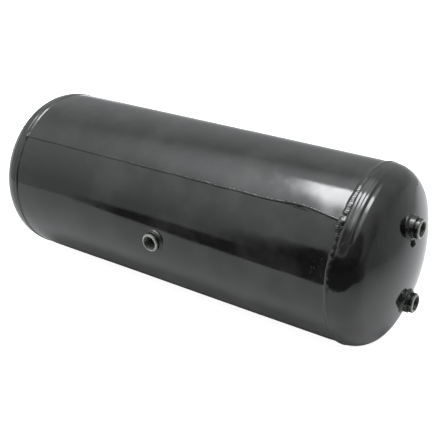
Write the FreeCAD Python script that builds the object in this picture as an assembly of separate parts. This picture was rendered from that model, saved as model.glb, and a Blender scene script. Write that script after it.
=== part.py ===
import FreeCAD, Part
import math
import os

# Welded steel compressed-air reservoir with three M22 x 1.5 ports.
# Millimetres. Origin on the tank axis at mid-length, +X towards the ported head,
# -Y along the drain port, +Z up as the tank lies on the ground.

# Rolled shell
OUTER_R = 138.0
WALL = 3.0
SHELL_HALF = 297.8
SEAM_ANGLE = 44.0            # from straight up, towards the drain port
SEAM_GAP = 2.4
SEAM_CAP_WIDTH = 6.4
SEAM_CAP_PROUD = 1.4
SEAM_CAP_SUNK = 0.1

# Dished heads, joggled so that their lip slides inside the shell
CROWN_R = 276.0
KNUCKLE_R = 45.0
KNUCKLE_START = 300.5
SHOULDER_FOOT = 298.6
LIP_END = 284.0
LIP_CLEARANCE = 0.15
JOGGLE_START = 299.0
JOGGLE_END = 304.5

# Girth welds, one on each end of the shell
GIRTH_CAP_IN = 294.0
GIRTH_CAP_OUT = 303.6
GIRTH_CAP_PROUD = 1.5
GIRTH_TOE_SUNK = 0.12
GIRTH_ROOT_CLEARANCE = 0.5

# Threaded ports, bored plain at the minor diameter of M22 x 1.5
BORE_R = 10.19
MOUTH_R = 11.5
RIM_R = 12.8
COLLAR_R = 15.0
GROOVE_R = 13.4
GROOVE_WIDTH = 1.5
BODY_R = 16.5
END_CHAMFER = 0.8
PORT_PITCH_R = 61.0          # head ports, from the tank axis
HEAD_PORT_STANDOFF = 15.8
HEAD_PORT_COLLAR = 6.5
HEAD_PORT_LENGTH = 26.0
DRAIN_STANDOFF = 9.0
DRAIN_COLLAR = 4.5
DRAIN_LENGTH = 16.5

# Fillet welds round the ports
HEAD_FILLET_LEG = 4.2
DRAIN_FILLET_LEG = 2.6
FILLET_TIP = 0.4             # width of the fillet where it meets the boss
FILLET_TOE = 1.3             # how far the toe runs out beyond the leg
FILLET_BELOW = 6.0

X_AXIS = FreeCAD.Vector(1, 0, 0)
MINUS_Y = FreeCAD.Vector(0, -1, 0)
ORIGIN = FreeCAD.Vector(0, 0, 0)


def point(x, r):
    """A point of a turned profile: x along the tank, r from its axis."""
    return FreeCAD.Vector(x, 0, r)


def line(start, end):
    return Part.makeLine(start, end)


def arc(start, through, end):
    return Part.Arc(start, through, end).toShape()


def turned_about_tank(edges):
    return Part.Face(Part.Wire(edges)).revolve(ORIGIN, X_AXIS, 360)


def outline(points):
    return [line(a, b) for a, b in zip(points, points[1:] + points[:1])]


def along(solid, base, axis):
    """Places a solid that was turned about +Z so that it stands at base, along axis."""
    turn = FreeCAD.Rotation(FreeCAD.Vector(0, 0, 1), axis)
    solid.Placement = FreeCAD.Placement(base, turn)
    return solid


def dish(offset):
    """Tangent point, knuckle middle point and apex of the head surface, offset inwards."""
    crown = CROWN_R - offset
    knuckle = KNUCKLE_R - offset
    centre_r = OUTER_R - KNUCKLE_R
    reach = math.sqrt((CROWN_R - KNUCKLE_R) ** 2 - centre_r ** 2)
    crown_x = KNUCKLE_START - reach
    turn = math.atan2(centre_r, reach)
    half = (turn + math.pi / 2) / 2
    tangent = point(crown_x + crown * math.cos(turn), crown * math.sin(turn))
    middle = point(KNUCKLE_START + knuckle * math.cos(half), centre_r + knuckle * math.sin(half))
    crown_middle = point(crown_x + crown * math.cos(turn / 2), crown * math.sin(turn / 2))
    apex = point(crown_x + crown, 0)
    return tangent, middle, crown_middle, apex


def head_surface_x(r):
    """Where the outside of the head's crown stands at radius r."""
    reach = math.sqrt((CROWN_R - KNUCKLE_R) ** 2 - (OUTER_R - KNUCKLE_R) ** 2)
    return KNUCKLE_START - reach + math.sqrt(CROWN_R ** 2 - r ** 2)


def dished_head():
    lip_outer = OUTER_R - WALL - LIP_CLEARANCE
    lip_inner = lip_outer - WALL
    knuckle_in = KNUCKLE_R - WALL
    joggle_rise = math.sqrt(knuckle_in ** 2 - (JOGGLE_END - KNUCKLE_START) ** 2)
    joggle_top = point(JOGGLE_END, OUTER_R - KNUCKLE_R + joggle_rise)
    tangent, knuckle, crown, apex = dish(0)
    in_tangent, in_knuckle, in_crown, in_apex = dish(WALL)
    shoulder = point(KNUCKLE_START, OUTER_R)
    edges = [
        line(point(LIP_END, lip_inner), point(LIP_END, lip_outer)),
        line(point(LIP_END, lip_outer), point(SHOULDER_FOOT, lip_outer)),
        line(point(SHOULDER_FOOT, lip_outer), shoulder),
        arc(shoulder, knuckle, tangent),
        arc(tangent, crown, apex),
        line(apex, in_apex),
        arc(in_apex, in_crown, in_tangent),
        arc(in_tangent, in_knuckle, joggle_top),
        line(joggle_top, point(JOGGLE_START, lip_inner)),
        line(point(JOGGLE_START, lip_inner), point(LIP_END, lip_inner)),
    ]
    return turned_about_tank(edges)


def solid_head_outside():
    """Everything inside the head's outer surface, for trimming the port welds."""
    tangent, knuckle, crown, apex = dish(0)
    start = point(KNUCKLE_START, OUTER_R)
    edges = [
        line(point(0, 0), point(0, OUTER_R)),
        line(point(0, OUTER_R), start),
        arc(start, knuckle, tangent),
        arc(tangent, crown, apex),
        line(apex, point(0, 0)),
    ]
    return turned_about_tank(edges)


def mirrored_end(solid):
    return solid.mirror(ORIGIN, X_AXIS)


def seam_frame(solid):
    """Turns a solid built straight up on the shell round to the seam."""
    solid.rotate(ORIGIN, X_AXIS, SEAM_ANGLE)
    return solid


def seam_slit():
    height = 2 * WALL
    corner = FreeCAD.Vector(-SHELL_HALF, -SEAM_GAP / 2, OUTER_R - height)
    return seam_frame(Part.makeBox(2 * SHELL_HALF, SEAM_GAP, 2 * height, corner))


def rolled_shell():
    tube = Part.makeCylinder(OUTER_R, 2 * SHELL_HALF, point(-SHELL_HALF, 0), X_AXIS)
    inside = Part.makeCylinder(OUTER_R - WALL, 2 * SHELL_HALF, point(-SHELL_HALF, 0), X_AXIS)
    return tube.cut(inside).cut(seam_slit())


def seam_weld():
    """Fills the slit, with a rounded cap that stops short of the girth welds."""
    fill = seam_slit()
    ring = Part.makeCylinder(OUTER_R, 2 * SHELL_HALF, point(-SHELL_HALF, 0), X_AXIS)
    bore = Part.makeCylinder(OUTER_R - WALL, 2 * SHELL_HALF, point(-SHELL_HALF, 0), X_AXIS)
    fill = fill.common(ring).cut(bore)
    half = SEAM_CAP_WIDTH / 2
    crest = FreeCAD.Vector(-GIRTH_CAP_IN, 0, OUTER_R + SEAM_CAP_PROUD)
    left = FreeCAD.Vector(-GIRTH_CAP_IN, -half, OUTER_R - SEAM_CAP_SUNK)
    right = FreeCAD.Vector(-GIRTH_CAP_IN, half, OUTER_R - SEAM_CAP_SUNK)
    section = Part.Face(Part.Wire([arc(left, crest, right), line(right, left)]))
    cap = seam_frame(section.extrude(FreeCAD.Vector(2 * GIRTH_CAP_IN, 0, 0)))
    return fill.fuse(cap.cut(ring)).removeSplitter()


def girth_weld(shell, head):
    """A bead in the gap between shell and shoulder, lapping on to both."""
    lip_outer = OUTER_R - WALL - LIP_CLEARANCE
    middle = (GIRTH_CAP_IN + GIRTH_CAP_OUT) / 2
    left = point(GIRTH_CAP_IN, OUTER_R)
    crest = point(middle, OUTER_R + GIRTH_CAP_PROUD)
    right = point(GIRTH_CAP_OUT, OUTER_R - GIRTH_TOE_SUNK)
    in_head = point(GIRTH_CAP_OUT, OUTER_R - WALL / 2)
    in_shoulder = point(SHOULDER_FOOT + GIRTH_ROOT_CLEARANCE, lip_outer)
    root = point(SHELL_HALF, lip_outer)
    shell_edge = point(SHELL_HALF, OUTER_R)
    edges = [
        arc(left, crest, right),
        line(right, in_head),
        line(in_head, in_shoulder),
        line(in_shoulder, root),
        line(root, shell_edge),
        line(shell_edge, left),
    ]
    return turned_about_tank(edges).cut(head).cut(shell)


def boss_profile(length, collar):
    """Turned about +Z with its rim face at z = 0 and its body below."""
    return [
        (BORE_R, -(MOUTH_R - BORE_R)),
        (MOUTH_R, 0),
        (RIM_R, 0),
        (COLLAR_R, -(COLLAR_R - RIM_R)),
        (COLLAR_R, -collar),
        (GROOVE_R, -collar),
        (GROOVE_R, -collar - GROOVE_WIDTH),
        (BODY_R - END_CHAMFER, -collar - GROOVE_WIDTH),
        (BODY_R, -collar - GROOVE_WIDTH - END_CHAMFER),
        (BODY_R, -length + END_CHAMFER),
        (BODY_R - END_CHAMFER, -length),
        (BORE_R, -length),
    ]


def turned_upright(profile):
    points = [FreeCAD.Vector(r, 0, z) for r, z in profile]
    return Part.Face(Part.Wire(outline(points))).revolve(ORIGIN, FreeCAD.Vector(0, 0, 1), 360)


def boss(face_centre, axis, length, collar):
    return along(turned_upright(boss_profile(length, collar)), face_centre, axis)


def boss_hole(face_centre, axis, length):
    """The round hole that the boss body passes through."""
    rod = Part.makeCylinder(BODY_R, 2 * length, FreeCAD.Vector(0, 0, -2 * length))
    return along(rod, face_centre, axis)


def fillet_weld(surface_point, normal, leg, hole, wall):
    """A cone round the boss, square to the wall, trimmed by the wall and the boss."""
    outer = BODY_R + leg
    profile = [
        (0, leg),
        (BODY_R + FILLET_TIP, leg),
        (outer - FILLET_TOE, FILLET_TOE / 2),
        (outer + FILLET_TOE, -FILLET_TOE / 2),
        (outer + FILLET_TOE, -FILLET_BELOW),
        (0, -FILLET_BELOW),
    ]
    cone = along(turned_upright(profile), surface_point, normal)
    return cone.cut(wall).cut(hole)


def export(name, shape):
    if shape.ShapeType != "Solid":
        solids = shape.Solids
        if len(solids) != 1:
            raise ValueError("%s has %d solids" % (name, len(solids)))
        shape = solids[0]
    if not shape.isValid():
        raise ValueError(name + " is not a valid solid")
    shape.exportStep("parts/%s.step" % name)


os.makedirs("parts", exist_ok=True)

shell = rolled_shell()
ported_head = dished_head()
plain_head = mirrored_end(dished_head())
export("shell_seam_weld", seam_weld())
export("ported_end_girth_weld", girth_weld(shell, ported_head))
export("plain_end_girth_weld", mirrored_end(girth_weld(shell, ported_head)))

head_outside = solid_head_outside()
crown_centre_x = head_surface_x(0) - CROWN_R
for name, side in (("upper", 1), ("lower", -1)):
    surface = FreeCAD.Vector(head_surface_x(PORT_PITCH_R), 0, side * PORT_PITCH_R)
    normal = surface - FreeCAD.Vector(crown_centre_x, 0, 0)
    face_centre = surface + X_AXIS * HEAD_PORT_STANDOFF
    hole = boss_hole(face_centre, X_AXIS, HEAD_PORT_LENGTH)
    weld = fillet_weld(surface, normal, HEAD_FILLET_LEG, hole, head_outside)
    ported_head = ported_head.cut(hole)
    export(name + "_port_boss", boss(face_centre, X_AXIS, HEAD_PORT_LENGTH, HEAD_PORT_COLLAR))
    export(name + "_port_weld", weld)

drain_surface = MINUS_Y * OUTER_R
drain_face = MINUS_Y * (OUTER_R + DRAIN_STANDOFF)
drain_hole = boss_hole(drain_face, MINUS_Y, DRAIN_LENGTH)
shell_outside = Part.makeCylinder(OUTER_R, 2 * SHELL_HALF, point(-SHELL_HALF, 0), X_AXIS)
export("drain_port_boss", boss(drain_face, MINUS_Y, DRAIN_LENGTH, DRAIN_COLLAR))
drain_weld = fillet_weld(drain_surface, MINUS_Y, DRAIN_FILLET_LEG, drain_hole, shell_outside)
export("drain_port_weld", drain_weld)

export("shell", shell.cut(drain_hole))
export("ported_head", ported_head)
export("plain_head", plain_head)
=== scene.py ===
import math

import bmesh
import bpy
import numpy as np
from mathutils import Matrix, Vector


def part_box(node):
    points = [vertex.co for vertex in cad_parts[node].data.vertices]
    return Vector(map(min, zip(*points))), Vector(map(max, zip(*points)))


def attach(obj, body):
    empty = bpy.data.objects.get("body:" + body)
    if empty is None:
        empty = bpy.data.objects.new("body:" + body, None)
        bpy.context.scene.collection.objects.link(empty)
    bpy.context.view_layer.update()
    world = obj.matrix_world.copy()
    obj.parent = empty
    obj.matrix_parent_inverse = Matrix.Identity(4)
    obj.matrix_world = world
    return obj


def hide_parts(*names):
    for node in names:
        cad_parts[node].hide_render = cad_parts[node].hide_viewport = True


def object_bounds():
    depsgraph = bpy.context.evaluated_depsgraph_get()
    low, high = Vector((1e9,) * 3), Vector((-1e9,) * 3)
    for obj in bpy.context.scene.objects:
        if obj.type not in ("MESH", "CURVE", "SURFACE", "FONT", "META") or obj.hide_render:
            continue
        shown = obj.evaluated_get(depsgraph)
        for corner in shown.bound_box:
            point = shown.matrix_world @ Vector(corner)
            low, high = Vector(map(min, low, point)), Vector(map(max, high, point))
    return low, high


# Looks for the welded compressed-air reservoir. Metres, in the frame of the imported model:
# the tank axis is X, the ported head faces +X, the drain port points along -Y, and +Z is up.
# Angles round the tank are measured from straight up, towards the drain port.

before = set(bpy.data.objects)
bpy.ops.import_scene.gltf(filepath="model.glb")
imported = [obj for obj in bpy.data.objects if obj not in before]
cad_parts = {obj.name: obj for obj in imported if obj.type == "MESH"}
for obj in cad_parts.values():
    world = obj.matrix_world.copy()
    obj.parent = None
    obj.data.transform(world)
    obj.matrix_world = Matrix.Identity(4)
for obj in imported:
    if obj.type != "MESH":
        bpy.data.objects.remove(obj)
cad_low, cad_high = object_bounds()

MM = 0.001


def node_points(node):
    """The corners of a CAD node's mesh, one row each."""
    return np.array([v.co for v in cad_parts[node].data.vertices])


def reach(node):
    """How far a CAD node goes from the tank axis."""
    corners = node_points(node)
    return float(np.hypot(corners[:, 1], corners[:, 2]).max())


# Tank
TANK_R = reach("shell")
SHELL_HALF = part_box("shell")[1].x
WALL = 3.0 * MM
WELD_LIMIT = cad_high.z - TANK_R - 0.02 * MM
SHELL_SINK = 0.7 * MM            # the shell draws in beside each girth weld
SINK_LENGTH = 14.0 * MM
SINK_SHARE = 0.8                 # the drawing in swings round the tank, by these shares
SINK_SWING = 0.25
SHELL_WAVE = 0.16 * MM
SHELL_WAVE_LENGTH = 160.0 * MM
FINE_WAVE_SHARE = 0.12
FINE_WAVE_LENGTH = 45.0 * MM
SEAM_PEAK = 0.8 * MM             # the rolled sheet's edges stay flat, so they meet in a low ridge
SEAM_PEAK_WIDTH = 46.0 * MM
SEAM_PEAK_END = 1.5              # what the ridge gains near the ported end, as a share
SEAM_PEAK_END_X = 276.0 * MM
SEAM_PEAK_END_LENGTH = 34.0 * MM

# Dished heads
CROWN_R = 276.0 * MM
KNUCKLE_R = 45.0 * MM
KNUCKLE_START = 300.5 * MM
SHOULDER_FOOT = 298.6 * MM
LIP_END = 284.0 * MM
LIP_CLEARANCE = 0.15 * MM
JOGGLE_AFTER = 4.0 * MM          # the wall's inside steps in over this stretch round the
JOGGLE_BEFORE = 1.5 * MM         # knuckle's start
RIDGE_HEIGHT = 0.75 * MM         # rings that the drawing die leaves on the knuckle
RIDGE_PITCH = 11.0 * MM
RIDGE_FOOT = 2.5 * MM            # along the knuckle, from its start
RIDGE_MIDDLE = 12.5 * MM
RIDGE_SPREAD = 12.0 * MM
RIDGE_TURN = math.radians(31.0)  # round the tank, where the rings are deepest
RIDGE_TURN_SPREAD = math.radians(20.0)
RIDGE_SLANT = 10.0 * MM          # for each radian round the tank
RIDGE_REST = 0.07                # share of the rings' depth away from there
RIDGE_REST_NOISE = 0.02
RIDGE_WANDER = 0.5               # of the rings' phase, away from there
LOWS_HEIGHT = 0.22 * MM          # broad unevenness of the crown's edge
LOWS_MIDDLE = 45.0 * MM
LOWS_SPREAD = 40.0 * MM
ON_AXIS = 1e-6                   # a point nearer to the axis than this lies on it

# Shell seam
SEAM_ANGLE = math.radians(44.0)
SEAM_GAP = 2.4 * MM
SEAM_HALF_WIDTH = 2.4 * MM
SEAM_HEIGHT = 1.05 * MM
SEAM_LEAN = 0.35                 # the bead is steeper on the side towards the drain port
SEAM_RIPPLE = 2.3 * MM
SEAM_RIPPLE_HEIGHT = 0.06 * MM
SEAM_DRIFT = 1.0 * MM
SEAM_DIP = 3.2 * MM
SEAM_DIP_X = 232.0 * MM
SEAM_DIP_LENGTH = 34.0 * MM
SEAM_DROOP = 4.0 * MM
SEAM_DROOP_LENGTH = 26.0 * MM
SEAM_WANDER = 0.35 * MM
SEAM_WANDER_LENGTH = 80.0 * MM
SEAM_SHORT = 1.0 * MM            # the bead stops this far before the shell does
SEAM_FULLNESS = 0.75

# Girth welds. Places round the tank are in radians from the seam.
GIRTH_X = 298.6 * MM
GIRTH_HALF_WIDTH = 4.3 * MM
GIRTH_HEIGHT = 1.3 * MM
GIRTH_FULLNESS = 0.8
GIRTH_WANDER = 0.35 * MM
GIRTH_RIPPLE = 3.1 * MM
GIRTH_RIPPLE_HEIGHT = 0.16 * MM
PLAIN_GIRTH_SHARE = 0.5          # the plain end's weld is flatter and narrower
MESS_TURN = 0.12                 # the ported end's bead is uneven round here
MESS_SPREAD = 0.5
PLAIN_MESS_SPREAD = 0.1
MESS_WANDER = 0.5 * MM
MESS_ROUGHNESS = 0.22 * MM
LUMP_TURN = 0.01                 # a lump where the seam runs into the bead
LUMP_SPREAD = 0.035
LUMP_HEIGHT = 1.3 * MM
LUMP_WIDENING = 0.35
PIT_TURN = -0.055                # a gap in the bead just above the lump
PIT_SPREAD = 0.014
PIT_SHARE = 0.9
TONGUE_TURN = 0.075              # metal that ran down from the lump, onto the shell
TONGUE_SPREAD = 0.045
TONGUE_HEIGHT = 0.7 * MM
TONGUE_SHIFT = 2.2 * MM
TONGUE_WIDENING = 0.45
MESS_LIMIT = 1.2 * MM            # how much higher than elsewhere the uneven part may stand
MESS_LIMIT_TURN = 0.05
MESS_LIMIT_SPREAD = 0.25
OVERLAP_TURN = 2.6               # from straight up, where the bead ends over its own start
OVERLAP_SPREAD = 0.05
OVERLAP_HEIGHT = 0.35 * MM
ROOT_SHARE = 0.7                 # width of a bead's hidden part
WELD_DEPTH = 0.12 * MM           # how far a weld's toe lies under the painted surface

# Spatter
DROPLET_HEIGHT = 0.32            # shares of a droplet's width
DROPLET_LIFT = 0.06
SPATTER_WIDTH = (0.6 * MM, 1.7 * MM)
SPLASH_DROPLETS = 13
SPLASH_START_WIDTH = 1.5 * MM
SPLASH_END_WIDTH = 0.7 * MM
SPLASH_SCATTER = 0.3 * MM

# Ports
BORE_R = 10.19 * MM
THREAD_R = 11.0 * MM
THREAD_PITCH = 1.5 * MM
MOUTH_R = 11.5 * MM
RIM_R = 12.8 * MM
COLLAR_R = 15.0 * MM
GROOVE_R = 13.4 * MM
GROOVE_WIDTH = 1.5 * MM
BODY_R = 16.5 * MM
END_CHAMFER = 0.8 * MM
BORE_CHAMFER = 0.3 * MM
EDGE_ROUND = 0.25 * MM
EDGE_ROUND_SHARE = 0.4           # the most of an edge's length that rounding takes
CORNER_POINTS = 4                # that a rounded corner of the boss's outline gets
THREAD_STEP = 0.13 * MM
THREAD_ROOT = 1 / 16             # shares of the pitch: half the root's flat, and a flank
THREAD_FLANK = 5 / 16
PAINT_REACH = 0.2 * MM           # how far the paint goes into the mouth
WORN_DEPTH = 1.3 * MM            # paint is thin from the rim's face down to here
WORN_FADE = 0.5 * MM
FACE_TOLERANCE = 0.05 * MM
HEAD_PORT_COLLAR = 6.5 * MM
DRAIN_COLLAR = 4.5 * MM
HEAD_FILLET_LEG = 4.0 * MM
DRAIN_FILLET_LEG = 2.5 * MM
FILLET_RIPPLE = 2.6 * MM
FILLET_RIPPLE_HEIGHT = 0.2 * MM
FILLET_BULGE = 0.10              # share of the leg
FILLET_OVERLAP_TURN = 4.4
FILLET_OVERLAP_SPREAD = 0.12
FILLET_SLOPE = 0.7               # a bulge's share along each leg
FILLET_ROOT = 1.2 * MM
# Drips below the upper port: how far down each one hangs, and its width
DRIPS = ((20.5 * MM, 8.0 * MM), (23.0 * MM, 8.5 * MM), (26.0 * MM, 10.0 * MM))
DRIP_SIDE = 1.0 * MM             # towards the drain port's side

# Photographer's place. Angles in degrees.
CAMERA_AT = (0.7426, -1.0216, 0.5571)
CAMERA_YAW = 34.92
CAMERA_PITCH = 24.73
LENS = 68.4
TANK_ROLL = 3.2                  # the tank lies rolled by this much in front of the camera
PAPER_SHADE = 0.44
LAMP = 13.0
LAMP_GLOW = 3.0
BACKDROP = 1.2

# Paint and steel
BLACK = (0.0022, 0.0022, 0.0021)
WELD_BLACK = (0.0025, 0.0025, 0.0025)
BOSS_BLACK = (0.002, 0.002, 0.002)
FILM = (0.06, 0.06, 0.056, 1)
DUST = (0.16, 0.155, 0.14, 1)
OILY_STEEL = (0.035, 0.04, 0.034, 1)
CLEAN_STEEL = (0.10, 0.11, 0.095, 1)
WORN_STEEL = (0.30, 0.30, 0.285, 1)


# Smooth seeded noise --------------------------------------------------------------------

LINE_WAVES = 9
LINE_WAVES_SUM = 4.0             # about the most that so many waves add up to
SKIN_WAVES = 12
SKIN_WAVES_SUM = 5.0


def ring_noise(turn, lowest, highest, seed):
    """Noise round a full turn, about -1 to 1, with lowest to highest waves in the turn."""
    dice = np.random.default_rng(seed)
    total = np.zeros_like(turn)
    waves = dice.integers(lowest, highest + 1, size=LINE_WAVES)
    for wave, shift in zip(waves, dice.uniform(0, 2 * np.pi, size=LINE_WAVES)):
        total += np.sin(wave * turn + shift)
    return total / LINE_WAVES_SUM


def line_noise(along, wavelength, seed):
    """Noise along a line, about -1 to 1, with waves from half to twice wavelength long."""
    dice = np.random.default_rng(seed)
    total = np.zeros_like(along)
    lengths = wavelength * 2.0 ** dice.uniform(-1, 1, size=LINE_WAVES)
    for length, shift in zip(lengths, dice.uniform(0, 2 * np.pi, size=LINE_WAVES)):
        total += np.sin(2 * np.pi * along / length + shift)
    return total / LINE_WAVES_SUM


def skin_noise(turn, along, wavelength, seed):
    """Noise over the tank's skin, about -1 to 1."""
    dice = np.random.default_rng(seed)
    total = np.zeros(np.broadcast(turn, along).shape)
    around = 2 * np.pi * TANK_R / wavelength
    for _ in range(SKIN_WAVES):
        wave = round(around * dice.uniform(-1, 1))
        slope = dice.uniform(0.3, 1) * 2 * np.pi / wavelength
        total += np.sin(wave * turn + slope * along + dice.uniform(0, 2 * np.pi))
    return total / SKIN_WAVES_SUM


def bump(value, middle, width):
    """A smooth hill, 1 at its middle."""
    return np.exp(-((value - middle) / width) ** 2)


def turned_from(turn, middle):
    """How far round the tank turn is from middle, between minus and plus half a turn."""
    return (turn - middle + np.pi) % (2 * np.pi) - np.pi


def ripple(phase):
    """A solidified weld ripple, 0 to 1, steeper on one side."""
    turn = 2 * np.pi * phase
    return 0.5 + 0.5 * np.sin(turn + 0.6 * np.sin(turn))


# Shape of the tank ----------------------------------------------------------------------

HEAD_REACH = math.sqrt((CROWN_R - KNUCKLE_R) ** 2 - (TANK_R - KNUCKLE_R) ** 2)
CROWN_CENTRE = KNUCKLE_START - HEAD_REACH
CROWN_TURN = math.atan2(TANK_R - KNUCKLE_R, HEAD_REACH)


def crown_x(radius):
    """Where the outside of the head's crown stands, that far from the axis."""
    return CROWN_CENTRE + np.sqrt(CROWN_R ** 2 - radius ** 2)


def head_radius(x):
    """Radius of the head's outside just past the shoulder."""
    into = np.clip(x - KNUCKLE_START, 0, KNUCKLE_R)
    return TANK_R - KNUCKLE_R + np.sqrt(KNUCKLE_R ** 2 - into ** 2)


def seam_turn(x):
    """The seam's angle round the tank: it drifts, dips and then droops at the ported end."""
    offset = -SEAM_DRIFT * x / SHELL_HALF
    offset = offset - SEAM_DIP * bump(x, SEAM_DIP_X, SEAM_DIP_LENGTH)
    offset = offset + SEAM_DROOP * bump(x, SHELL_HALF, SEAM_DROOP_LENGTH)
    return SEAM_ANGLE + (offset + SEAM_WANDER * line_noise(x, SEAM_WANDER_LENGTH, 3)) / TANK_R


def shell_radius(turn, x):
    """Radius of the painted shell, with its waves, seam ridge and drawn-in ends."""
    to_end = SHELL_HALF - np.abs(x)
    sink = SHELL_SINK * np.exp(-(to_end / SINK_LENGTH) ** 2)
    sink = sink * (SINK_SHARE + SINK_SWING * np.sin(3 * turn + 1))
    beside = turned_from(turn, seam_turn(x))
    peak = SEAM_PEAK * np.clip(1 - np.abs(beside) * TANK_R / SEAM_PEAK_WIDTH, 0, 1) ** 2
    peak = peak * (1 + SEAM_PEAK_END * bump(x, SEAM_PEAK_END_X, SEAM_PEAK_END_LENGTH))
    wave = skin_noise(turn, x, SHELL_WAVE_LENGTH, 11)
    wave = wave + FINE_WAVE_SHARE * skin_noise(turn, x, FINE_WAVE_LENGTH, 12)
    return TANK_R - sink + peak + SHELL_WAVE * (wave - 1)


def on_tank(x, turn, radius):
    """Points of the tank from length, angle and radius."""
    x, turn, radius = np.broadcast_arrays(x, turn, radius)
    return np.stack([x, -radius * np.sin(turn), radius * np.cos(turn)], axis=-1)


def round_z(turn, radius, height):
    """Points turned round +Z."""
    points = np.broadcast_arrays(radius * np.cos(turn), radius * np.sin(turn), height)
    return np.stack(points, axis=-1)


# Meshes ---------------------------------------------------------------------------------

def grid_faces(rows, columns, close_rows, close_columns, start=0):
    """Quads of a grid of points, optionally joined up along either direction."""
    row = np.arange(rows if close_rows else rows - 1)
    column = np.arange(columns if close_columns else columns - 1)
    row, column = np.meshgrid(row, column, indexing="ij")
    next_row = (row + 1) % rows
    next_column = (column + 1) % columns
    corners = [row * columns + column, next_row * columns + column,
               next_row * columns + next_column, row * columns + next_column]
    return (np.stack([c.ravel() for c in corners], axis=1) + start).tolist()


class Piece:
    """Points, faces and point attributes of a piece while it is being built."""

    def __init__(self):
        self.points = []
        self.faces = []
        self.marks = {}

    def grid(self, points, close_rows=False, close_columns=False, caps=False, **marks):
        """Adds a grid of points. caps closes the first and last row with a face each."""
        rows, columns = points.shape[:2]
        start = len(self.points)
        self.points += points.reshape(-1, 3).tolist()
        self.faces += grid_faces(rows, columns, close_rows, close_columns, start)
        if caps:
            first = list(range(start, start + columns))
            last = [(rows - 1) * columns + i for i in first]
            self.faces += [first, last[::-1]]
        for name, values in marks.items():
            marked = self.marks.setdefault(name, [])
            marked += [0.0] * (start - len(marked))
            marked += np.broadcast_to(values, (rows, columns)).ravel().tolist()

    def finished(self, name, node, material, sharp=40):
        """Makes the object, which rides on the tank and stands for a CAD node."""
        mesh = bpy.data.meshes.new(name)
        mesh.from_pydata(self.points, [], self.faces)
        for mark, values in self.marks.items():
            values += [0.0] * (len(self.points) - len(values))
            attribute = mesh.attributes.new(mark, "FLOAT", "POINT")
            attribute.data.foreach_set("value", np.array(values, np.float32))
        piece = bpy.data.objects.new(name, mesh)
        bpy.context.scene.collection.objects.link(piece)
        merge_and_face_outwards(piece)
        smooth(piece, sharp)
        mesh.materials.append(material)
        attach(piece, "root")
        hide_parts(node)
        return piece


def merge_and_face_outwards(piece):
    """Merges coinciding points, which closes a turned piece at its axis."""
    made = bmesh.new()
    made.from_mesh(piece.data)
    bmesh.ops.remove_doubles(made, verts=made.verts, dist=0.001 * MM)
    bmesh.ops.recalc_face_normals(made, faces=made.faces)
    made.to_mesh(piece.data)
    made.free()


def smooth(piece, sharp):
    """Smooth shading, broken where faces meet at more than sharp degrees."""
    mesh = piece.data
    mesh.polygons.foreach_set("use_smooth", [True] * len(mesh.polygons))
    mesh.set_sharp_from_angle(angle=math.radians(sharp))


def bored(piece, holes, sharp=40):
    """Cuts round holes, given as (rim centre, outward axis, length), and keeps the mesh."""
    cutters = []
    for centre, axis, length in holes:
        turn = np.linspace(0, 2 * np.pi, 96, endpoint=False)[:, None]
        ring = round_z(turn, BODY_R, np.array([0.0, -length])[None, :])
        rod = Piece()
        rod.grid(placed(ring, centre, axis).transpose(1, 0, 2), close_columns=True, caps=True)
        mesh = bpy.data.meshes.new("cutter")
        mesh.from_pydata(rod.points, [], rod.faces)
        cutter = bpy.data.objects.new("cutter", mesh)
        bpy.context.scene.collection.objects.link(cutter)
        merge_and_face_outwards(cutter)
        modifier = piece.modifiers.new("hole", "BOOLEAN")
        modifier.operation = "DIFFERENCE"
        modifier.solver = "EXACT"
        modifier.object = cutter
        cutters.append(cutter)
    evaluated = piece.evaluated_get(bpy.context.evaluated_depsgraph_get())
    mesh = bpy.data.meshes.new_from_object(evaluated)
    piece.modifiers.clear()
    piece.data = mesh
    for cutter in cutters:
        bpy.data.objects.remove(cutter)
    smooth(piece, sharp)


def placed(points, base, axis):
    """Turns points built round +Z so that they stand at base, along axis."""
    turn = Vector((0, 0, 1)).rotation_difference(Vector(axis)).to_matrix()
    return points @ np.array(turn).T + np.array(base)


def arc_points(centre, radius, start, end, count):
    """Points of a turned profile on an arc, as (x, radius). Angles are from the axis."""
    angle = np.linspace(start, end, count)
    return np.array(centre) + radius * np.stack([np.cos(angle), np.sin(angle)], axis=1)


def stepped(start, end, step):
    """Points on a straight stretch of a profile, at most step apart, both ends included."""
    count = max(2, int(math.ceil(math.dist(start, end) / step)) + 1)
    return np.linspace(start, end, count)


# Tank pieces ----------------------------------------------------------------------------

def build_shell(material):
    """Rolled sheet with real thickness, open along its seam, with the drain port's hole."""
    around = 300
    outer_x = np.linspace(-SHELL_HALF, SHELL_HALF, 211)
    inner_x = np.linspace(SHELL_HALF, -SHELL_HALF, 15)
    x = np.concatenate([outer_x, inner_x])[None, :]
    share = np.linspace(0, 1, around)[:, None]
    half_gap = SEAM_GAP / 2 / TANK_R
    turn = seam_turn(x) + half_gap + share * 2 * (np.pi - half_gap)
    radius = shell_radius(turn, x)
    inside = np.arange(x.shape[1])[None, :] >= len(outer_x)
    radius = radius - np.where(inside, WALL, 0)
    piece = Piece()
    piece.grid(on_tank(x, turn, radius), close_columns=True, caps=True)
    shell = piece.finished("shell_sheet", "shell", material)
    drain_rim = Vector((0, cad_low.y - 1 * MM, 0))
    bored(shell, [(drain_rim, (0, -1, 0), 30 * MM)])


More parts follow.
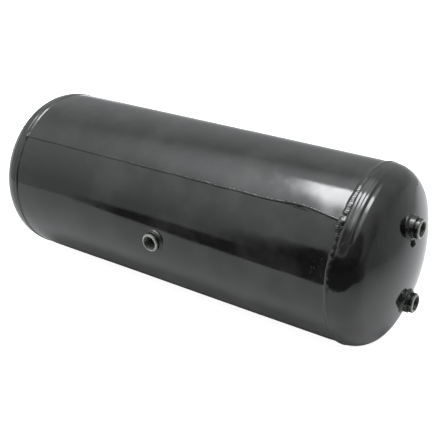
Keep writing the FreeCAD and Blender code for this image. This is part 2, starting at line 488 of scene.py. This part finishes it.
def head_profile():
    """Closed outline of a dished head as (x, radius). Also gives how far each point of the
    outside lies from the knuckle's start, along the skin, and -1 for the other points."""
    lip_outer = TANK_R - WALL - LIP_CLEARANCE
    lip_inner = lip_outer - WALL
    knuckle = (KNUCKLE_START, TANK_R - KNUCKLE_R)
    crown = (CROWN_CENTRE, 0.0)
    knuckle_in = KNUCKLE_R - WALL
    joggle_turn = math.acos(JOGGLE_AFTER / knuckle_in)
    joggle_start = (KNUCKLE_START + JOGGLE_AFTER, knuckle[1] + knuckle_in * math.sin(joggle_turn))
    joggle_end = (KNUCKLE_START - JOGGLE_BEFORE, lip_inner)
    runs = [
        stepped((LIP_END, lip_outer), (SHOULDER_FOOT, lip_outer), 5 * MM)[:-1],
        stepped((SHOULDER_FOOT, lip_outer), (KNUCKLE_START, TANK_R), 1 * MM)[:-1],
        arc_points(knuckle, KNUCKLE_R, np.pi / 2, CROWN_TURN, 90)[:-1],
        arc_points(crown, CROWN_R, CROWN_TURN, 0, 56),
        arc_points(crown, CROWN_R - WALL, 0, CROWN_TURN, 30)[:-1],
        arc_points(knuckle, knuckle_in, CROWN_TURN, joggle_turn, 16)[:-1],
        stepped(joggle_start, joggle_end, 3 * MM)[:-1],
        stepped(joggle_end, (LIP_END, lip_inner), 5 * MM),
    ]
    before = sum(len(run) for run in runs[:2])
    outside = np.concatenate(runs[2:4])
    steps = np.hypot(*np.diff(outside, axis=0).T)
    outline = np.concatenate(runs)
    along = np.full(len(outline), -1.0)
    along[before:before + len(outside)] = np.concatenate([[0], np.cumsum(steps)])
    return outline, along


def outward(outline):
    """Outward directions of a closed outline, from its neighbouring points."""
    ahead = np.roll(outline, -1, axis=0) - np.roll(outline, 1, axis=0)
    ahead = ahead / np.maximum(np.hypot(*ahead.T), 1e-9)[:, None]
    return np.stack([-ahead[:, 1], ahead[:, 0]], axis=1)


def build_head(name, node, end, material, seed, holes=()):
    """A joggled dished head. end is 1 for the ported end and -1 for the plain one."""
    outline, along = head_profile()
    away = outward(outline)
    turn = np.linspace(0, 2 * np.pi, 288, endpoint=False)[:, None]
    on_skin = np.where(along < 0, 0.0, 1.0)
    window = np.exp(-((along - RIDGE_MIDDLE) / RIDGE_SPREAD) ** 4) * on_skin
    from_ridges = turned_from(turn, RIDGE_TURN)
    deepest = bump(from_ridges, 0, RIDGE_TURN_SPREAD)
    strength = RIDGE_REST + RIDGE_REST_NOISE * ring_noise(turn, 1, 4, seed + 1)
    strength = strength + (1 - RIDGE_REST) * deepest
    slant = RIDGE_SLANT * from_ridges * deepest * np.clip(1 - along / RIDGE_MIDDLE, 0, 1)
    rings = 2 * np.pi * (along - RIDGE_FOOT - slant) / RIDGE_PITCH
    rings = rings + RIDGE_WANDER * ring_noise(turn, 1, 3, seed) * (1 - deepest)
    lows = ring_noise(turn, 2, 5, seed + 2) * bump(along, LOWS_MIDDLE, LOWS_SPREAD) * on_skin
    rise = RIDGE_HEIGHT * window * strength * np.sin(rings) + LOWS_HEIGHT * lows
    rise = np.where(outline[:, 1] < ON_AXIS, 0.0, rise)
    x = outline[:, 0] + rise * away[:, 0]
    radius = np.where(outline[:, 1] < ON_AXIS, 0.0, outline[:, 1] + rise * away[:, 1])
    piece = Piece()
    piece.grid(on_tank(end * x, turn, radius), close_rows=True, close_columns=True)
    head = piece.finished(name, node, material)
    if holes:
        bored(head, holes)


# Welds ----------------------------------------------------------------------------------

def droplet(piece, base, up, width):
    """A bead of weld spatter, sunk a little into the skin at base."""
    turn = np.linspace(0, 2 * np.pi, 12, endpoint=False)[:, None]
    lift = np.linspace(-0.5, 0.5, 7)[None, :] * np.pi
    height = width * (DROPLET_HEIGHT * np.sin(lift) + DROPLET_LIFT)
    ball = round_z(turn, width / 2 * np.cos(lift), height)
    piece.grid(placed(ball, base, up), close_rows=True)


def knuckle_point(turn, along):
    """A point of the ported head's knuckle, and the way out of it. along is from its start."""
    slope = along / KNUCKLE_R
    x = KNUCKLE_START + KNUCKLE_R * math.sin(slope)
    radius = TANK_R - KNUCKLE_R + KNUCKLE_R * math.cos(slope)
    up = (math.sin(slope), -math.cos(slope) * math.sin(turn), math.cos(slope) * math.cos(turn))
    return on_tank(x, turn, radius), up


def splash(piece, seed, degrees, along, run, drift):
    """A run of frozen metal on the ported head: a chain of droplets that thins out. It goes
    run far round the tank and drift far along the knuckle."""
    dice = np.random.default_rng(seed)
    for part in np.linspace(0, 1, SPLASH_DROPLETS):
        turn = math.radians(degrees) + run * part / TANK_R
        width = SPLASH_START_WIDTH + (SPLASH_END_WIDTH - SPLASH_START_WIDTH) * part
        width = width * dice.uniform(0.8, 1.2)
        scatter = dice.uniform(-SPLASH_SCATTER, SPLASH_SCATTER)
        base, up = knuckle_point(turn, along + drift * part + scatter)
        droplet(piece, base, up, width)


def spatter(piece, seed, end, count, degrees, distance):
    """Droplets beside a girth weld, on the shell, within those ranges."""
    dice = np.random.default_rng(seed)
    for _ in range(count):
        turn = math.radians(dice.uniform(*degrees))
        x = end * (GIRTH_X - dice.uniform(*distance))
        width = dice.uniform(*SPATTER_WIDTH)
        base = on_tank(x, turn, float(shell_radius(np.float64(turn), x)))
        droplet(piece, base, (0, -math.sin(turn), math.cos(turn)), width)


def build_girth_weld(name, node, end, size, material, seed):
    """A rippled bead round the joint of shell and head. size is its share of a full bead."""
    turn = np.linspace(0, 2 * np.pi, 2100, endpoint=False)[:, None]
    across = np.linspace(-1, 1, 15)[None, :]
    from_seam = turned_from(turn, float(seam_turn(np.float64(end * SHELL_HALF))))
    lump = bump(from_seam, LUMP_TURN, LUMP_SPREAD)
    if end > 0:
        mess = bump(from_seam, MESS_TURN, MESS_SPREAD)
        tongue = bump(from_seam, TONGUE_TURN, TONGUE_SPREAD)
    else:
        mess = bump(from_seam, 0, PLAIN_MESS_SPREAD)
        tongue = 0.0

    centre = GIRTH_X + (GIRTH_WANDER + MESS_WANDER * mess) * ring_noise(turn, 9, 30, seed)
    centre = centre - TONGUE_SHIFT * tongue
    uneven = 0.07 * ring_noise(turn, 20, 80, seed + 1)
    uneven = uneven + 0.12 * mess * ring_noise(turn, 30, 90, seed + 2)
    half_width = GIRTH_HALF_WIDTH * math.sqrt(size) * (1 + uneven)
    half_width = half_width * (1 + LUMP_WIDENING * lump + TONGUE_WIDENING * tongue)
    uneven = 0.12 * ring_noise(turn, 15, 60, seed + 3)
    uneven = uneven + 0.35 * mess * ring_noise(turn, 40, 90, seed + 4)
    height = GIRTH_HEIGHT * size * (1 + uneven) * (1 - PIT_SHARE * bump(from_seam, PIT_TURN, PIT_SPREAD))
    height = height + LUMP_HEIGHT * lump + TONGUE_HEIGHT * tongue
    height = height + OVERLAP_HEIGHT * bump(turned_from(turn, OVERLAP_TURN), 0, OVERLAP_SPREAD)

    crown = (1 - across ** 2) ** GIRTH_FULLNESS
    phase = turn * TANK_R / GIRTH_RIPPLE + 0.55 * across ** 2
    phase = phase + 0.3 * ring_noise(turn, 5, 40, seed + 5)
    x = centre + half_width * across
    rough = skin_noise(turn, x, 7 * MM, seed + 8) + 0.5 * skin_noise(turn, x, 3.5 * MM, seed + 9)
    texture = size * GIRTH_RIPPLE_HEIGHT * (ripple(phase) - 0.5) + MESS_ROUGHNESS * mess * rough
    toe_shell = shell_radius(turn, end * (centre - half_width))
    toe_head = head_radius(centre + half_width)
    toes = toe_shell + (toe_head - toe_shell) * (across + 1) / 2
    radius = toes - WELD_DEPTH + height * crown + texture * np.sqrt(crown)
    limit = MESS_LIMIT * bump(from_seam, MESS_LIMIT_TURN, MESS_LIMIT_SPREAD)
    radius = np.minimum(radius, TANK_R + WELD_LIMIT + limit)

    root = ROOT_SHARE * half_width
    tip = np.full_like(centre, SHELL_HALF + 0.4 * MM)
    root_x = np.concatenate([centre + root, tip, centre - root], axis=1)
    root_radius = TANK_R - np.array([1.4 * MM, WALL + 0.1 * MM, 2.2 * MM])[None, :]
    x = np.concatenate([x, root_x], axis=1)
    radius = np.concatenate([radius, np.broadcast_to(root_radius, root_x.shape)], axis=1)
    piece = Piece()
    piece.grid(on_tank(end * x, turn, radius), close_rows=True, close_columns=True)
    spatter(piece, seed + 6, end, count=15, degrees=(60, 80), distance=(6 * MM, 26 * MM))
    if end > 0:
        splash(piece, seed + 10, degrees=57, along=10 * MM, run=14 * MM, drift=-4 * MM)
        splash(piece, seed + 11, degrees=57, along=20 * MM, run=16 * MM, drift=-2 * MM)
        splash(piece, seed + 12, degrees=64, along=4 * MM, run=9 * MM, drift=-2 * MM)
    spatter(piece, seed + 7, end, count=14, degrees=(110, 400), distance=(6 * MM, 16 * MM))
    piece.finished(name, node, material, sharp=60)


def build_seam_weld(material):
    """The rippled bead along the shell, from one girth weld to the other."""
    x = np.linspace(-1, 1, 1700)[:, None] * (SHELL_HALF - SEAM_SHORT)
    across = np.linspace(-1, 1, 11)[None, :]
    uneven = 0.08 * line_noise(x, 20 * MM, 21) + 0.05 * line_noise(x, 7 * MM, 22)
    half_width = SEAM_HALF_WIDTH * (1 + uneven)
    uneven = 0.10 * line_noise(x, 30 * MM, 23) + 0.10 * line_noise(x, 8 * MM, 24)
    height = SEAM_HEIGHT * (1 + uneven)
    crown = (1 - across ** 2) ** SEAM_FULLNESS * (1 - SEAM_LEAN * across)
    phase = x / SEAM_RIPPLE + 0.5 * across ** 2 + 0.35 * line_noise(x, 50 * MM, 25)
    texture = SEAM_RIPPLE_HEIGHT * (ripple(phase) - 0.5) * np.sqrt(crown)
    turn = seam_turn(x) + half_width * across / TANK_R
    radius = shell_radius(turn, x) - WELD_DEPTH + height * crown + texture
    root = SEAM_GAP / 2 / TANK_R
    root_turn = np.concatenate([seam_turn(x) + root, seam_turn(x) - root], axis=1)
    root_radius = np.full_like(root_turn, TANK_R - WALL + 0.2 * MM)
    turn = np.concatenate([turn, root_turn], axis=1)
    radius = np.concatenate([radius, root_radius], axis=1)
    piece = Piece()
    piece.grid(on_tank(x, turn, radius), close_columns=True, caps=True)
    piece.finished("seam_bead", "shell_seam_weld", material, sharp=60)


def build_fillet_weld(name, node, base, axis, leg_length, skin, material, seed, drips=()):
    """A rippled fillet round a boss. skin gives how far the tank's skin lies from base's
    plane, along axis, at an offset from the boss's centre."""
    turn = np.linspace(0, 2 * np.pi, 420, endpoint=False)[:, None]
    share = np.linspace(0, 1, 11)[None, :]
    leg = leg_length * (0.95 + 0.05 * ring_noise(turn, 3, 14, seed))
    rise = leg_length * (0.93 + 0.05 * ring_noise(turn, 4, 18, seed + 1))
    phase = turn * (BODY_R + leg_length / 2) / FILLET_RIPPLE + 0.5 * (2 * share - 1) ** 2
    hill = np.sin(np.pi * share)
    texture = FILLET_RIPPLE_HEIGHT * (ripple(phase) - 0.5) * hill ** 0.7
    overlap = OVERLAP_HEIGHT * bump(turn, FILLET_OVERLAP_TURN, FILLET_OVERLAP_SPREAD) * hill
    bulge = FILLET_SLOPE * (FILLET_BULGE * leg_length * hill + texture + overlap)
    out = leg * share + bulge
    up = rise * (1 - share) + bulge - WELD_DEPTH * share
    root = np.full_like(leg, -FILLET_ROOT)
    out = np.concatenate([out, leg, 0 * leg], axis=1)
    up = np.concatenate([up, root, root], axis=1)
    stood = placed(round_z(turn, BODY_R - WELD_DEPTH + out, up), base, axis)
    stood = stood + skin(stood - np.array(base))[..., None] * np.array(axis)
    piece = Piece()
    piece.grid(stood, close_rows=True, close_columns=True)
    for place, width in drips:
        droplet(piece, place, axis, width)
    piece.finished(name, node, material, sharp=60)


# Ports ----------------------------------------------------------------------------------

def softened(outline, size):
    """Cuts each corner of a closed outline back by size and rounds it with a short arc."""
    made = []
    count = len(outline)
    for i in range(count):
        before, corner, after = outline[i - 1], outline[i], outline[(i + 1) % count]
        into = (before - corner) / math.dist(before, corner)
        away = (after - corner) / math.dist(after, corner)
        shorter = min(math.dist(before, corner), math.dist(after, corner))
        cut = min(size, EDGE_ROUND_SHARE * shorter)
        start, end = corner + cut * into, corner + cut * away
        for t in np.linspace(0, 1, CORNER_POINTS):
            made.append((1 - t) ** 2 * start + 2 * t * (1 - t) * corner + t ** 2 * end)
    return np.array(made)


def thread_depth(turn, height):
    """How deep an internal metric thread cuts at that angle and height."""
    part = (height / THREAD_PITCH - turn / (2 * np.pi)) % 1.0
    from_root = np.abs(part - 0.5)
    share = np.clip((from_root - THREAD_ROOT) / THREAD_FLANK, 0, 1)
    return (THREAD_R - BORE_R) * (1 - share)


def build_boss(name, node, face, axis, length, collar, material):
    """A turned threaded boss, as a lathe makes it, with its rim face at face."""
    mouth = MOUTH_R - BORE_R
    outside = np.array([
        (RIM_R, 0),
        (COLLAR_R, RIM_R - COLLAR_R),
        (COLLAR_R, -collar),
        (GROOVE_R, -collar),
        (GROOVE_R, -collar - GROOVE_WIDTH),
        (BODY_R - END_CHAMFER, -collar - GROOVE_WIDTH),
        (BODY_R, -collar - GROOVE_WIDTH - END_CHAMFER),
        (BODY_R, END_CHAMFER - length),
        (BODY_R - END_CHAMFER, -length),
        (BORE_R + BORE_CHAMFER, -length),
        (BORE_R, -length + BORE_CHAMFER),
        (BORE_R, -mouth),
        (MOUTH_R, 0),
    ])
    # Where three corners begin in the softened outline: the bore chamfer's two and the mouth's.
    thread_from, bore_corner, mouth_corner = (CORNER_POINTS * corner for corner in (9, 10, 12))
    soft = softened(outside, EDGE_ROUND)
    into_bore = soft[:bore_corner + CORNER_POINTS - 1]
    climb = stepped((BORE_R, -length + BORE_CHAMFER + 0.1 * MM), (BORE_R, -mouth), THREAD_STEP)
    flare = stepped((BORE_R, -mouth), (MOUTH_R, 0), THREAD_STEP)[1:-1]
    outline = np.concatenate([into_bore, climb, flare, soft[mouth_corner + 1:]])
    turn = np.linspace(0, 2 * np.pi, 120, endpoint=False)[:, None]
    radius, height = outline[:, 0][None, :], outline[:, 1][None, :]
    in_bore = (np.arange(len(outline)) > thread_from)[None, :] & (radius < MOUTH_R)
    cut = BORE_R + thread_depth(turn, height)
    radius = np.where(in_bore, np.maximum(radius, cut), radius)
    bare = np.where(in_bore & (height < -PAINT_REACH), 1.0, 0.0) + 0 * turn
    edge = np.clip((height + WORN_DEPTH) / WORN_FADE, 0, 1) * (radius > MOUTH_R - FACE_TOLERANCE)
    piece = Piece()
    piece.grid(placed(round_z(turn, radius, height), face, axis), close_rows=True, close_columns=True,
               bare=bare, edge=edge)
    piece.finished(name, node, material, sharp=50)


# Materials ------------------------------------------------------------------------------

def node(tree, kind, settings=None, **inputs):
    """Adds a shader node. Inputs are numbers, colours or another node's output socket, given
    by the socket's name or, as i0, i1 and so on, by its number."""
    made = tree.nodes.new(kind)
    for key, value in (settings or {}).items():
        setattr(made, key, value)
    for key, value in inputs.items():
        numbered = key[0] == "i" and key[1:].isdigit()
        socket = made.inputs[int(key[1:]) if numbered else key.replace("_", " ")]
        if isinstance(value, bpy.types.NodeSocket):
            tree.links.new(value, socket)
        else:
            socket.default_value = value
    return made


def maths(tree, operation, first, second):
    return node(tree, "ShaderNodeMath", {"operation": operation}, i0=first, i1=second).outputs[0]


def fresh_material(name):
    material = bpy.data.materials.new(name)
    material.use_nodes = True
    material.node_tree.nodes.clear()
    return material, material.node_tree


def noise_at(tree, where, scale, detail=2.0, roughness=0.5):
    return node(tree, "ShaderNodeTexNoise", Vector=where, Scale=scale, Detail=detail,
                Roughness=roughness).outputs["Fac"]


def ranged(tree, value, low, high, to_low, to_high):
    """Takes the range from low to high smoothly to another one, and holds it beyond."""
    return node(tree, "ShaderNodeMapRange", {"interpolation_type": "SMOOTHSTEP"}, Value=value,
                From_Min=low, From_Max=high, To_Min=to_low, To_Max=to_high).outputs["Result"]


def raised(tree, height, distance, below=None, strength=1.0):
    """Adds relief of that height over a surface that may already have some."""
    inputs = {} if below is None else {"Normal": below}
    return node(tree, "ShaderNodeBump", Strength=strength, Distance=distance, Height=height,
                **inputs).outputs[0]


def blended(tree, factor, first, second):
    mix = node(tree, "ShaderNodeMix", {"data_type": "RGBA"}, i0=factor, i6=first, i7=second)
    return mix.outputs[2]


def enamel(name, colour, rough, peel, mottling, dust):
    """Black spray enamel: orange peel, a mottled gloss, settled dust and a few nibs."""
    material, tree = fresh_material(name)
    where = node(tree, "ShaderNodeTexCoord").outputs["Object"]
    cloud = noise_at(tree, where, scale=14.0, detail=4.0, roughness=0.6)
    grime = noise_at(tree, where, scale=45.0, detail=6.0, roughness=0.65)
    dark, light = [c * 0.7 for c in colour] + [1], [c * 1.4 for c in colour] + [1]
    tone = blended(tree, ranged(tree, cloud, 0.3, 0.7, 0.0, 1.0), dark, light)
    grain = node(tree, "ShaderNodeTexVoronoi", Vector=where, Scale=420.0, Randomness=1.0)
    speck = ranged(tree, grain.outputs["Distance"], 0.05, 0.12, 1.0, 0.0)
    specks = maths(tree, "MULTIPLY", speck, ranged(tree, grime, 0.55, 0.72, 0.0, dust))
    tone = blended(tree, ranged(tree, cloud, 0.42, 0.72, 0.0, dust * 0.3), tone, FILM)
    tone = blended(tree, specks, tone, DUST)
    gloss = ranged(tree, grime, 0.3, 0.75, rough, rough + mottling)
    relief = raised(tree, noise_at(tree, where, scale=300.0, detail=1.5), peel)
    relief = raised(tree, noise_at(tree, where, scale=38.0, detail=1.0), peel * 8, relief)
    relief = raised(tree, noise_at(tree, where, scale=260.0, detail=3.0), 12e-6, relief, 0.6)
    relief = raised(tree, specks, 40e-6, relief)
    shader = node(tree, "ShaderNodeBsdfPrincipled", Base_Color=tone, Roughness=gloss,
                  IOR=1.5, Normal=relief)
    node(tree, "ShaderNodeOutputMaterial", Surface=shader.outputs[0])
    return material, tree, shader


def boss_enamel(name, colour):
    """The turned bosses: enamel that is thin at the rim, and bare steel in the thread."""
    material, tree, shader = enamel(name, colour, rough=0.10, peel=2e-6, mottling=0.15, dust=0.3)
    where = node(tree, "ShaderNodeTexCoord").outputs["Object"]
    bare = node(tree, "ShaderNodeAttribute", {"attribute_name": "bare"}).outputs["Fac"]
    edge = node(tree, "ShaderNodeAttribute", {"attribute_name": "edge"}).outputs["Fac"]
    chips = noise_at(tree, where, scale=900.0, detail=4.0, roughness=0.7)
    worn = maths(tree, "MULTIPLY", edge, ranged(tree, chips, 0.34, 0.54, 0.0, 1.0))
    oily = noise_at(tree, where, scale=300.0, detail=4.0)
    steel = blended(tree, ranged(tree, oily, 0.3, 0.7, 0, 1), OILY_STEEL, CLEAN_STEEL)
    paint = shader.inputs["Base Color"].links[0].from_socket
    tone = blended(tree, bare, paint, steel)
    tone = blended(tree, worn, tone, WORN_STEEL)
    tree.links.new(tone, shader.inputs["Base Color"])
    metal = maths(tree, "MULTIPLY", maths(tree, "MAXIMUM", bare, worn), 0.6)
    tree.links.new(metal, shader.inputs["Metallic"])
    gloss = shader.inputs["Roughness"].links[0].from_socket
    gloss = maths(tree, "ADD", gloss, maths(tree, "MULTIPLY", metal, 0.25))
    tree.links.new(gloss, shader.inputs["Roughness"])
    return material


# Stage ----------------------------------------------------------------------------------

def stage_sheet(name, corners, material):
    mesh = bpy.data.meshes.new(name)
    mesh.from_pydata([(x, y, cad_low.z) for x, y in corners], [], [range(len(corners))])
    mesh.materials.append(material)
    sheet = bpy.data.objects.new(name, mesh)
    bpy.context.scene.collection.objects.link(sheet)
    return sheet


def paper_material(name, shade, glow, fade=None):
    """Matt paper, mottled very faintly. glow lifts its shadows. fade, given as (from, to,
    share), darkens it along X to that share of its shade."""
    material, tree = fresh_material(name)
    where = node(tree, "ShaderNodeTexCoord").outputs["Object"]
    cloud = noise_at(tree, where, scale=3.0, detail=3.0)
    tone = blended(tree, cloud, [shade * 0.985] * 3 + [1], [shade] * 3 + [1])
    if fade:
        x = node(tree, "ShaderNodeSeparateXYZ", Vector=where).outputs["X"]
        start, end, share = fade
        faded = ranged(tree, x, start, end, 0.0, 1.0)
        tone = blended(tree, faded, tone, [shade * share] * 3 + [1])
    shader = node(tree, "ShaderNodeBsdfDiffuse", Color=tone)
    light = node(tree, "ShaderNodeEmission", Color=(1, 1, 1, 1), Strength=glow)
    both = node(tree, "ShaderNodeAddShader", i0=shader.outputs[0], i1=light.outputs[0])
    node(tree, "ShaderNodeOutputMaterial", Surface=both.outputs[0])
    return material


def build_stage():
    """A wide floor for the camera, and the sheet of paper that the paint mirrors."""
    wide = 14.0
    floor = stage_sheet("floor", [(-wide, -wide), (wide, -wide), (wide, wide), (-wide, wide)],
                        paper_material("floor_paper", shade=0.55, glow=0.92))
    floor.visible_glossy = False
    near_edge = [(-1.1, -1.10), (-0.3, -0.62), (0.8, -0.39)]
    sheet = stage_sheet("paper_sheet", near_edge + [(0.8, 1.2), (-1.1, 1.2)],
                        paper_material("sheet_paper", PAPER_SHADE, glow=0.0, fade=(0.46, 0.86, 0.45)))
    sheet.location.z = 0.05 * MM
    sheet.visible_camera = False
    sheet.visible_diffuse = False
    sheet.visible_shadow = False


def facing(tree, where, direction):
    """How squarely a direction of the room faces the given one, 1 at most."""
    unit = tuple(Vector(direction).normalized())
    product = node(tree, "ShaderNodeVectorMath", {"operation": "DOT_PRODUCT"}, i0=where, i1=unit)
    return product.outputs["Value"]


def build_world():
    """The room: a long lamp overhead, lit walls, dark figures on the camera's side and the
    ground. x, y and height are parts of a unit direction, so they go from -1 to 1."""
    world = bpy.data.worlds.new("studio")
    world.use_nodes = True
    tree = world.node_tree
    tree.nodes.clear()
    where = node(tree, "ShaderNodeTexCoord").outputs["Generated"]
    split = node(tree, "ShaderNodeSeparateXYZ", Vector=where)
    x, y, height = split.outputs["X"], split.outputs["Y"], split.outputs["Z"]

    # Walls, brighter higher up and on the camera's side, and dimmer past the ported end.
    walls = ranged(tree, height, 0.0, 0.75, 0.85, 1.6)
    walls = maths(tree, "MULTIPLY", walls, ranged(tree, y, -0.25, 0.25, 1.0, 0.62))
    side = ranged(tree, facing(tree, where, (0.95, -0.25, 0.15)), 0.70, 0.92, 1.0, 0.5)
    walls = maths(tree, "MULTIPLY", walls, side)

    # Dark things in front of the walls: the room's low part behind the camera, a figure that
    # the ported head mirrors, and a shape higher up that darkens the top of that head.
    camera_side = ranged(tree, facing(tree, where, (0.26, -0.97, 0)), 0.66, 0.76, 0.0, 1.0)
    low = ranged(tree, height, 0.28, 0.36, 1.0, 0.0)
    dark = maths(tree, "MULTIPLY", camera_side, low)
    figure = ranged(tree, facing(tree, where, (0.75, -0.62, 0.22)), 0.87, 0.94, 0.0, 0.88)
    shoulder = ranged(tree, facing(tree, where, (0.10, -0.75, 0.65)), 0.90, 0.965, 0.0, 0.75)
    dark = maths(tree, "MAXIMUM", dark, maths(tree, "MAXIMUM", figure, shoulder))
    walls = maths(tree, "MULTIPLY", walls, ranged(tree, dark, 0.0, 1.0, 1.0, 0.08))

    # The ground beyond the paper, lighter behind the tank and past its plain end.
    ground = ranged(tree, y, -0.3, 0.7, 0.12, 0.62)
    ground = maths(tree, "ADD", ground, ranged(tree, x, -0.67, -0.625, 0.7, 0.0))
    above = ranged(tree, height, -0.06, 0.0, 0.0, 1.0)
    walls = maths(tree, "MULTIPLY", walls, above)
    ground = maths(tree, "MULTIPLY", ground, maths(tree, "SUBTRACT", 1.0, above))

    # The lamp is flat, so its edges are straight in x and y divided by height.
    over = maths(tree, "MAXIMUM", height, 0.05)
    along = maths(tree, "DIVIDE", x, over)
    across = maths(tree, "SUBTRACT", maths(tree, "DIVIDE", y, over), 0.10)
    lamp_long = ranged(tree, maths(tree, "ABSOLUTE", along, 0.0), 0.46, 0.54, 1.0, 0.0)
    lamp_near = ranged(tree, across, -0.36, -0.10, 0.0, LAMP)
    lamp_glow = ranged(tree, across, -0.80, -0.45, 0.0, LAMP_GLOW)
    lamp_far = ranged(tree, across, 0.06, 0.13, 1.0, 0.0)
    lamp_glow = maths(tree, "MULTIPLY", lamp_glow, ranged(tree, along, -0.42, -0.30, 1.0, 0.0))
    lamp = maths(tree, "MULTIPLY", lamp_far, maths(tree, "ADD", lamp_near, lamp_glow))
    lamp = maths(tree, "MULTIPLY", lamp, lamp_long)
    halo = ranged(tree, facing(tree, where, (0, -0.05, 1)), 0.72, 0.92, 0.0, 2.0)

    total = maths(tree, "ADD", walls, ground)
    total = maths(tree, "ADD", total, halo)
    total = maths(tree, "ADD", total, lamp)
    room = node(tree, "ShaderNodeBackground", Color=(0.97, 0.985, 1.0, 1), Strength=total)
    seen = node(tree, "ShaderNodeBackground", Color=(1, 1, 1, 1), Strength=BACKDROP)
    camera_ray = node(tree, "ShaderNodeLightPath").outputs["Is Camera Ray"]
    both = node(tree, "ShaderNodeMixShader", i0=camera_ray, i1=room.outputs[0], i2=seen.outputs[0])
    node(tree, "ShaderNodeOutputWorld", Surface=both.outputs[0])
    bpy.context.scene.world = world


def build_camera():
    data = bpy.data.cameras.new("camera")
    data.sensor_width = 36.0
    data.lens = LENS
    data.clip_start = 0.05
    data.clip_end = 60.0
    camera = bpy.data.objects.new("camera", data)
    bpy.context.scene.collection.objects.link(camera)
    yaw = Matrix.Rotation(math.radians(CAMERA_YAW), 4, "Z")
    pitch = Matrix.Rotation(math.radians(90 - CAMERA_PITCH), 4, "X")
    roll = Matrix.Rotation(math.radians(-TANK_ROLL), 4, "X")
    camera.matrix_world = roll @ Matrix.Translation(CAMERA_AT) @ yaw @ pitch
    bpy.context.scene.camera = camera


# Assembly -------------------------------------------------------------------------------

def build_head_port(side, seed, drips=()):
    """A port of the ported head with its fillet weld. Returns the hole that it goes in."""
    boss_node = side + "_port_boss"
    low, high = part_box(boss_node)
    face = Vector((high.x, (low.y + high.y) / 2, (low.z + high.z) / 2))
    length = high.x - low.x
    out = (1, 0, 0)
    build_boss(side + "_port_socket", boss_node, face, out, length, HEAD_PORT_COLLAR, boss_paint)
    base = Vector((float(crown_x(math.hypot(face.y, face.z))), face.y, face.z))

    def head_skin(offset):
        return crown_x(np.hypot(offset[..., 1] + base.y, offset[..., 2] + base.z)) - base.x

    hung = []
    for drop, width in drips:
        y, z = face.y - DRIP_SIDE, face.z - drop
        hung.append(((float(crown_x(math.hypot(y, z))), y, z), width))
    build_fillet_weld(side + "_port_bead", side + "_port_weld", base, out, HEAD_FILLET_LEG,
                      head_skin, weld_paint, seed, hung)
    return face, out, 2 * length


def build_drain_port(seed):
    """The port in the shell's side with its fillet weld."""
    low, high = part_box("drain_port_boss")
    out = (0, -1, 0)
    build_boss("drain_port_socket", "drain_port_boss", Vector((0, low.y, 0)), out,
               high.y - low.y, DRAIN_COLLAR, boss_paint)

    def shell_skin(offset):
        return np.sqrt(TANK_R ** 2 - offset[..., 2] ** 2) - TANK_R - SHELL_WAVE

    build_fillet_weld("drain_port_bead", "drain_port_weld", Vector((0, -TANK_R, 0)), out,
                      DRAIN_FILLET_LEG, shell_skin, weld_paint, seed)


shell_paint = enamel("shell_enamel", BLACK, rough=0.05, peel=6e-6, mottling=0.10, dust=0.4)[0]
head_paint = enamel("head_enamel", BLACK, rough=0.045, peel=6e-6, mottling=0.10, dust=0.35)[0]
weld_paint = enamel("weld_enamel", WELD_BLACK, rough=0.08, peel=4e-6, mottling=0.12, dust=0.4)[0]
boss_paint = boss_enamel("boss_enamel", BOSS_BLACK)

build_shell(shell_paint)
build_seam_weld(weld_paint)
build_girth_weld("ported_end_bead", "ported_end_girth_weld", 1, 1.0, weld_paint, 41)
build_girth_weld("plain_end_bead", "plain_end_girth_weld", -1, PLAIN_GIRTH_SHARE, weld_paint, 61)
build_head("plain_end_head", "plain_head", -1, head_paint, 81)
port_holes = [build_head_port("upper", 101, DRIPS), build_head_port("lower", 111)]
build_head("ported_end_head", "ported_head", 1, head_paint, 91, port_holes)
build_drain_port(121)

build_stage()
build_world()
build_camera()
bpy.context.scene.view_settings.view_transform = "Standard"
